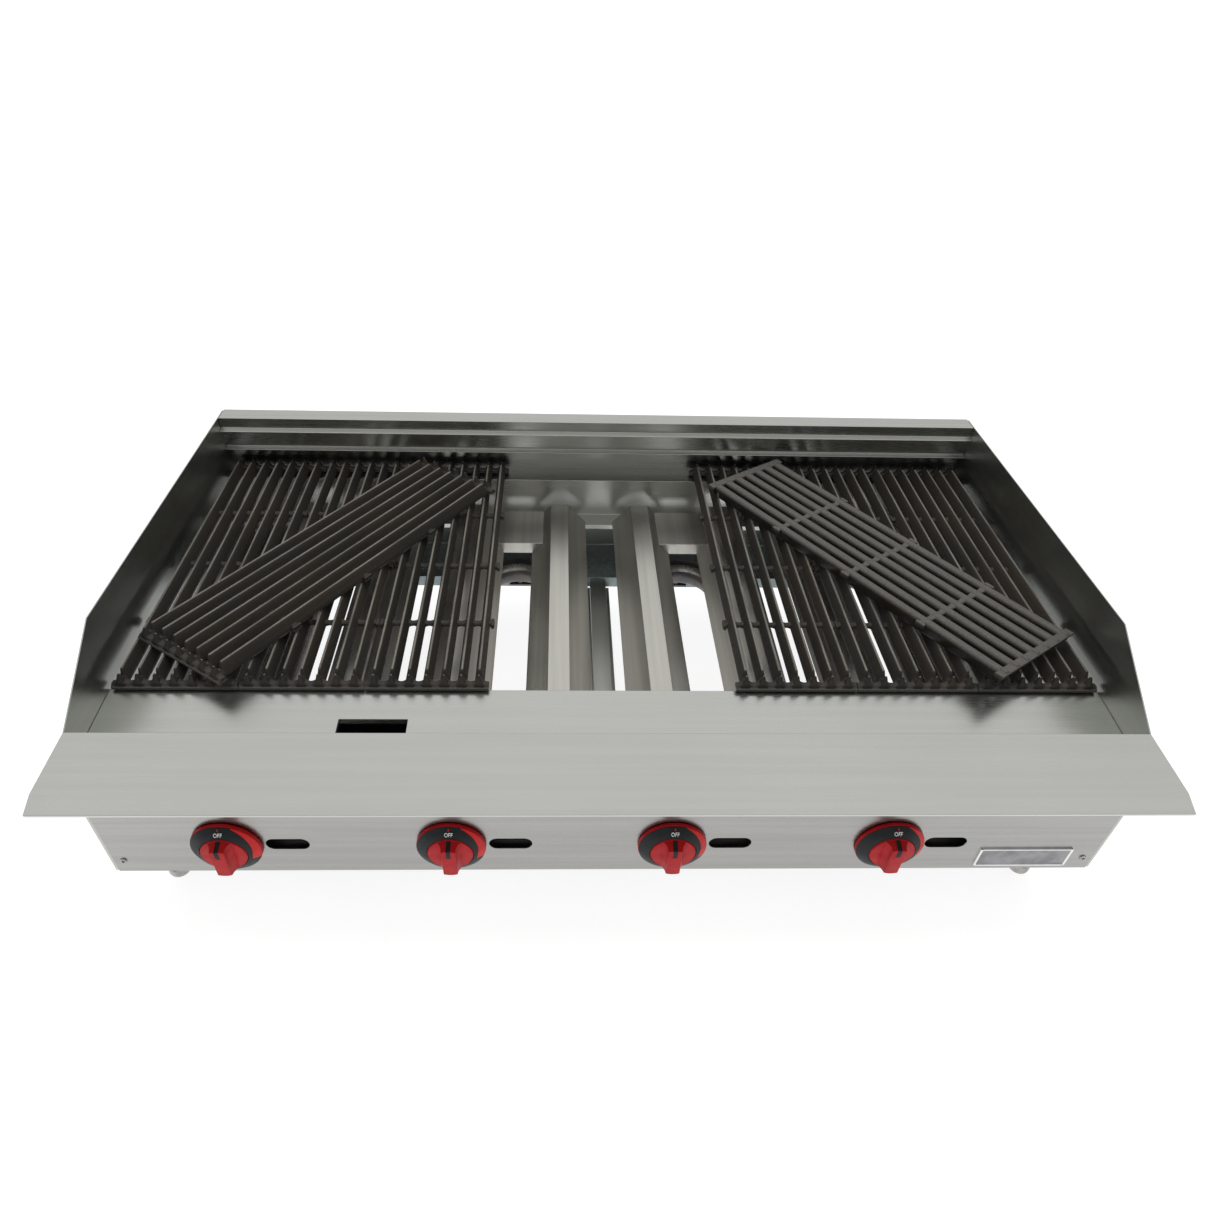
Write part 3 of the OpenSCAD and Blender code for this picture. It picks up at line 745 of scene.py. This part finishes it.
def pointer():
    """Black line down the bar's end and part of its front."""
    half_w, thick = 2.7, 0.5
    end_top = HUB_R - 4.0
    path = [
        (HUB_R - 0.35, HUB_TOP - 0.4),
        (HUB_R - 1.7, HUB_TOP + 4),
        (HUB_R - 2.8, HUB_TOP + 8.4),
        (end_top + 0.55, GRIP_TOP - 1.6),
        (end_top + 0.1, GRIP_TOP - 0.25),
        (end_top - 0.9, GRIP_TOP + 0.15),
        (10.0, GRIP_TOP + 0.15),
    ]
    rings = []
    for y, z in path:
        inward = Vector((0, y, z)) - Vector((0, 0, HUB_TOP - 4))
        inner = Vector((0, y, z)) - inward.normalized() * thick
        rings.append([(-half_w, y, z), (half_w, y, z), (half_w, *inner.yz), (-half_w, *inner.yz)])
    return Shape().loft(rings)


def facing_user(i):
    """Knob shapes face +Z, and this turns them to the user at knob i's place."""
    low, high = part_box(f"knob_{i}")
    panel_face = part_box("control_panel")[0].y
    spot = Vector(((low.x + high.x) / 2, panel_face, (low.z + high.z) / 2))
    return Matrix.Translation(spot) @ Matrix.Rotation(QUARTER_TURN, 4, "X")


for i in FOUR:
    body = f"knob_body_{i}"
    at = facing_user(i)
    knob_body().build(f"knob_moulding_{i}", RED, body, "knob_red", [f"knob_{i}"], at)
    dial_ring().build(
        f"dial_ring_{i}", CHARCOAL, body, "dial_charcoal", [f"knob_dial_{i}"], at
    )
    crescent().build(f"dial_flow_mark_{i}", RED_PRINT, body, "knob_red", matrix=at)
    dial_word().build(f"dial_off_mark_{i}", WHITE_PRINT, body, "dial_charcoal", matrix=at)
    flame().build(f"dial_flame_mark_{i}", RED_PRINT, body, "knob_red", matrix=at)
    pointer().build(f"knob_pointer_{i}", BLACK_PRINT_AND_SHADE, body, "dial_charcoal", matrix=at)


# ---------------------------------------------------------------- badge, screws, feet


def rounded_rectangle(half_w, half_h, radius, z):
    """Closed outline with five points round each corner."""
    points = []
    corners = ((1, 1, 0), (-1, 1, 90), (-1, -1, 180), (1, -1, 270))
    for sx, sy, start in corners:
        for step in range(5):
            a = math.radians(start + 22.5 * step)
            x = sx * (half_w - radius) + radius * math.cos(a)
            y = sy * (half_h - radius) + radius * math.sin(a)
            points.append((x, y, z))
    return points


def badge():
    """Blank plate: a raised polished rim round a satin field."""
    low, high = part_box("nameplate")
    half_w = (high.x - low.x) / MM / 2
    half_h = (high.z - low.z) / MM / 2
    spot = Vector(((low.x + high.x) / 2, high.y, (low.z + high.z) / 2))
    at = Matrix.Translation(spot) @ Matrix.Rotation(QUARTER_TURN, 4, "X")
    rim, thick = 3.0, 2.5
    steps = (
        (0.0, 0.0),
        (0.0, thick - 0.7),
        (0.7, thick),
        (rim - 0.7, thick),
        (rim, thick - 0.9),
    )
    levels = [rounded_rectangle(half_w - d, half_h - d, 3.2 - 0.5 * d, z) for d, z in steps]
    Shape().loft(levels).build(
        "badge_frame", CHROME, "root", "nameplate_chrome", ["nameplate"], at
    )
    field = [
        rounded_rectangle(half_w - rim - d, half_h - rim - d, 1.5, z)
        for d, z in ((0.0, thick - 0.95), (0.0, thick - 0.75), (0.3, thick - 0.6))
    ]
    Shape().loft(field).build("badge_field", BADGE_FACE, "root", "nameplate_chrome", matrix=at)


def screw_head(radius, height):
    """Pan head, facing +Z."""
    profile = ((0.02, 0), (radius, 0), (radius, 0.3 * height), (0.86 * radius, 0.75 * height))
    profile += ((0.5 * radius, height), (0.02, height))
    return Shape().lathe(profile, 32)


def cross_recess(radius, height):
    """Two crossed strips, a hair above the head, that carry the painted shade of the cross recess.
    """
    arm, width, depth = 0.55 * radius, 0.16 * radius, 0.06 * height
    cross = Shape()
    for turn in (0, QUARTER_TURN):
        strip = Shape().box((-arm, -width, height - 0.1), (arm, width, height + depth), 0.1)
        cross.add(strip.place(Matrix.Rotation(turn, 4, "Z")))
    return cross


SCREW_H = 2.2


def screws():
    """The control panel's two screws, and painted shade in their recesses."""
    low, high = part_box("screws")
    radius = (high.z - low.z) / MM / 2
    panel_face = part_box("control_panel")[0].y
    inset = radius * MM
    heads, slot_shade = Shape(), Shape()
    for x in (low.x + inset, high.x - inset):
        spot = Vector((x, panel_face, (low.z + high.z) / 2)) / MM
        at = Matrix.Translation(spot) @ Matrix.Rotation(QUARTER_TURN, 4, "X")
        heads.add(screw_head(radius, SCREW_H).place(at))
        slot_shade.add(cross_recess(radius, SCREW_H).place(at))
    heads.build("panel_screws", NICKEL, "root", "foot_nickel", ["screws"])
    # Black strips on the heads: painted shade in the cross recesses.
    slot_shade.build("panel_screw_slot_shade", BLACK_PRINT_AND_SHADE, "root", "foot_nickel")


def foot(i):
    """Adjustable foot: a round pad, a neck, a collar and the stud into the leg."""
    low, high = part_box(f"foot_{i}")
    r = (high.x - low.x) / MM / 2
    top = (high.z - low.z) / MM
    profile = (
        (0.02, 0.0),
        (r - 4.0, 0.0),
        (r - 2.4, 0.5),
        (r - 0.8, 2.2),
        (r, 5.0),
        (r, 16.0),
        (r - 0.4, 16.8),
        (r - 1.4, 17.2),
        (r - 1.4, 18.4),
        (r - 0.3, 18.8),
        (r, 19.6),
        (r, 26.6),
        (r - 0.9, 27.8),
        (6.0, 28.0),
        (6.0, top),
        (0.02, top),
    )
    middle = (low + high) / 2
    at = Matrix.Translation((middle.x, middle.y, low.z))
    Shape().lathe(profile, 64).build(
        f"levelling_foot_{i}", NICKEL, f"foot_body_{i}", "foot_nickel", [f"foot_{i}"], at
    )


def leg_tubes():
    """Tapered leg castings with their square mounting plates and screws."""
    low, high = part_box("leg_sockets")
    foot_z, top_z = low.z / MM, high.z / MM
    plate_half, plate_t, screw_out, screw_r = 26.0, 3, 20.8, 3.6
    facing_down = Matrix.Rotation(math.pi, 4, "X")
    legs = Shape()
    for i in FOUR:
        foot_low, foot_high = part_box(f"foot_{i}")
        middle = (foot_low + foot_high) / 2 / MM
        profile = (
            (6.4, foot_z),
            (15.6, foot_z),
            (16.8, foot_z + 1.2),
            (17.2, foot_z + 4),
            (20.6, top_z - 12),
            (21.6, top_z - 7),
            (24.5, top_z - 4),
            (25.0, top_z - 2.9),
            (6.4, top_z - 2.9),
        )
        at = Matrix.Translation((middle.x, middle.y, 0))
        legs.add(Shape().lathe(profile, 64).place(at))
        x, y = middle.x, middle.y
        plate_low = (x - plate_half, y - plate_half, top_z - plate_t)
        plate_high = (x + plate_half, y + plate_half, top_z)
        legs.add(Shape().box(plate_low, plate_high, 1.2))
        for sx, sy in ((-1, -1), (-1, 1), (1, -1), (1, 1)):
            place = (x + sx * screw_out, y + sy * screw_out, top_z - plate_t)
            turned = Matrix.Translation(place) @ facing_down
            legs.add(screw_head(screw_r, SCREW_H).place(turned))
    legs.build("leg_castings", NICKEL, "root", "foot_nickel", ["leg_sockets"])


# The burner's tube, half the distance between its legs, and its back end past the bend.
BURNER_R = 19.0
BURNER_LEG = 61.5
BURNER_FOOT_REACH = 22.0


def port_ribbon(i):
    """Corrugated ribbon in the burner's slot, as ribs that follow its bend."""
    low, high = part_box(f"burner_{i}")
    middle_x = high.x / MM - BURNER_R - BURNER_LEG
    bend_y = high.y / MM - BURNER_LEG - BURNER_FOOT_REACH
    axis_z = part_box(f"knob_{i}")[0].z / MM + KNOB_R
    ribs = Shape()
    pitch, half_rib, sunk, proud = 2.6, 0.7, -0.4, 0.5
    corners = ((sunk, -half_rib), (sunk, half_rib), (proud, half_rib), (proud, -half_rib))
    count = int(math.pi * BURNER_LEG / pitch)
    for k in range(1, count):
        turn = Matrix.Rotation(math.pi * k / count, 4, "Z")
        rings = []
        for lean in (18, 30, 42, 54):
            a = math.radians(lean)
            ring = []
            for lift, side in corners:
                r = BURNER_R + lift
                ring.append((BURNER_LEG - r * math.sin(a), side, r * math.cos(a)))
            rings.append(ring)
        ribs.add(Shape().loft(rings).place(turn))
    ribs.place(Matrix.Translation((middle_x, bend_y, axis_z)))
    ribs.build(f"burner_port_ribbon_{i}", NICKEL, "root", "burner_steel")


badge()
screws()
leg_tubes()
for i in FOUR:
    foot(i)
    port_ribbon(i)


# ---------------------------------------------------------------- studio


def floor():
    """A plain pale floor, wide enough to fill the picture."""
    size = 30.0
    plane = bpy.data.meshes.new("studio_floor")
    corners = [(-size, -size, 0), (size, -size, 0), (size, size, 0), (-size, size, 0)]
    plane.from_pydata(corners, [], [(0, 1, 2, 3)])
    plane.materials.append(studio_floor())
    ground = bpy.data.objects.new("studio_floor", plane)
    bpy.context.scene.collection.objects.link(ground)


def sky():
    """Soft light that is bright overhead and towards the back, and dim at the horizon."""
    world = bpy.data.worlds.new("studio")
    bpy.context.scene.world = world
    world.use_nodes = True
    tree = world.node_tree
    back = tree.nodes["Background"]
    way = tree.nodes.new("ShaderNodeTexCoord")
    lean = tree.nodes.new("ShaderNodeVectorMath")
    lean.operation = "DOT_PRODUCT"
    lean.inputs[1].default_value = (0.0, 0.25, 0.97)
    tree.links.new(way.outputs["Generated"], lean.inputs[0])
    bright = tree.nodes.new("ShaderNodeMapRange")
    bright.interpolation_type = "SMOOTHSTEP"
    bright.inputs["From Min"].default_value = 0.0
    bright.inputs["From Max"].default_value = 0.85
    bright.inputs["To Min"].default_value = 0.14
    bright.inputs["To Max"].default_value = 0.9
    tree.links.new(lean.outputs["Value"], bright.inputs["Value"])
    tree.links.new(bright.outputs[0], back.inputs["Strength"])
    back.inputs["Color"].default_value = (1.0, 1.0, 0.985, 1)


def softbox(name, place, target, width, height, watts):
    """A rectangular lamp that steel doesn't mirror."""
    lamp = bpy.data.lights.new(name, "AREA")
    lamp.shape = "RECTANGLE"
    lamp.size = width
    lamp.size_y = height
    lamp.energy = watts
    item = bpy.data.objects.new(name, lamp)
    item.visible_glossy = False
    item.location = place
    aim = Vector(target) - Vector(place)
    item.rotation_euler = aim.to_track_quat("-Z", "Y").to_euler()
    bpy.context.scene.collection.objects.link(item)


def camera():
    """In front, left of the middle and above, tilted down and turned slightly right."""
    data = bpy.data.cameras.new("camera")
    data.sensor_width = 36.0
    data.lens = 25.33
    data.shift_x = 0.0169
    data.shift_y = 0.0422
    data.clip_start = 0.01
    data.clip_end = 100.0
    item = bpy.data.objects.new("camera", data)
    bpy.context.scene.collection.objects.link(item)
    down, right, roll = math.radians(41.84), math.radians(2.466), math.radians(1.895)
    spot = Matrix.Translation((-0.0662, -0.9394, 1.0117))
    turn = Matrix.Rotation(-right, 4, "Z") @ Matrix.Rotation(QUARTER_TURN - down, 4, "X")
    item.matrix_world = spot @ turn @ Matrix.Rotation(roll, 4, "Z")
    bpy.context.scene.camera = item


floor()
sky()
softbox("overhead_softbox", (0.0, -0.1, 2.5), (0, 0, 0.2), width=2.2, height=1.3, watts=40)
softbox("front_softbox", (-1.2, -2.4, 1.6), (0, -0.2, 0.2), width=1.4, height=1.0, watts=10)
camera()
bpy.context.scene.view_settings.view_transform = "Standard"
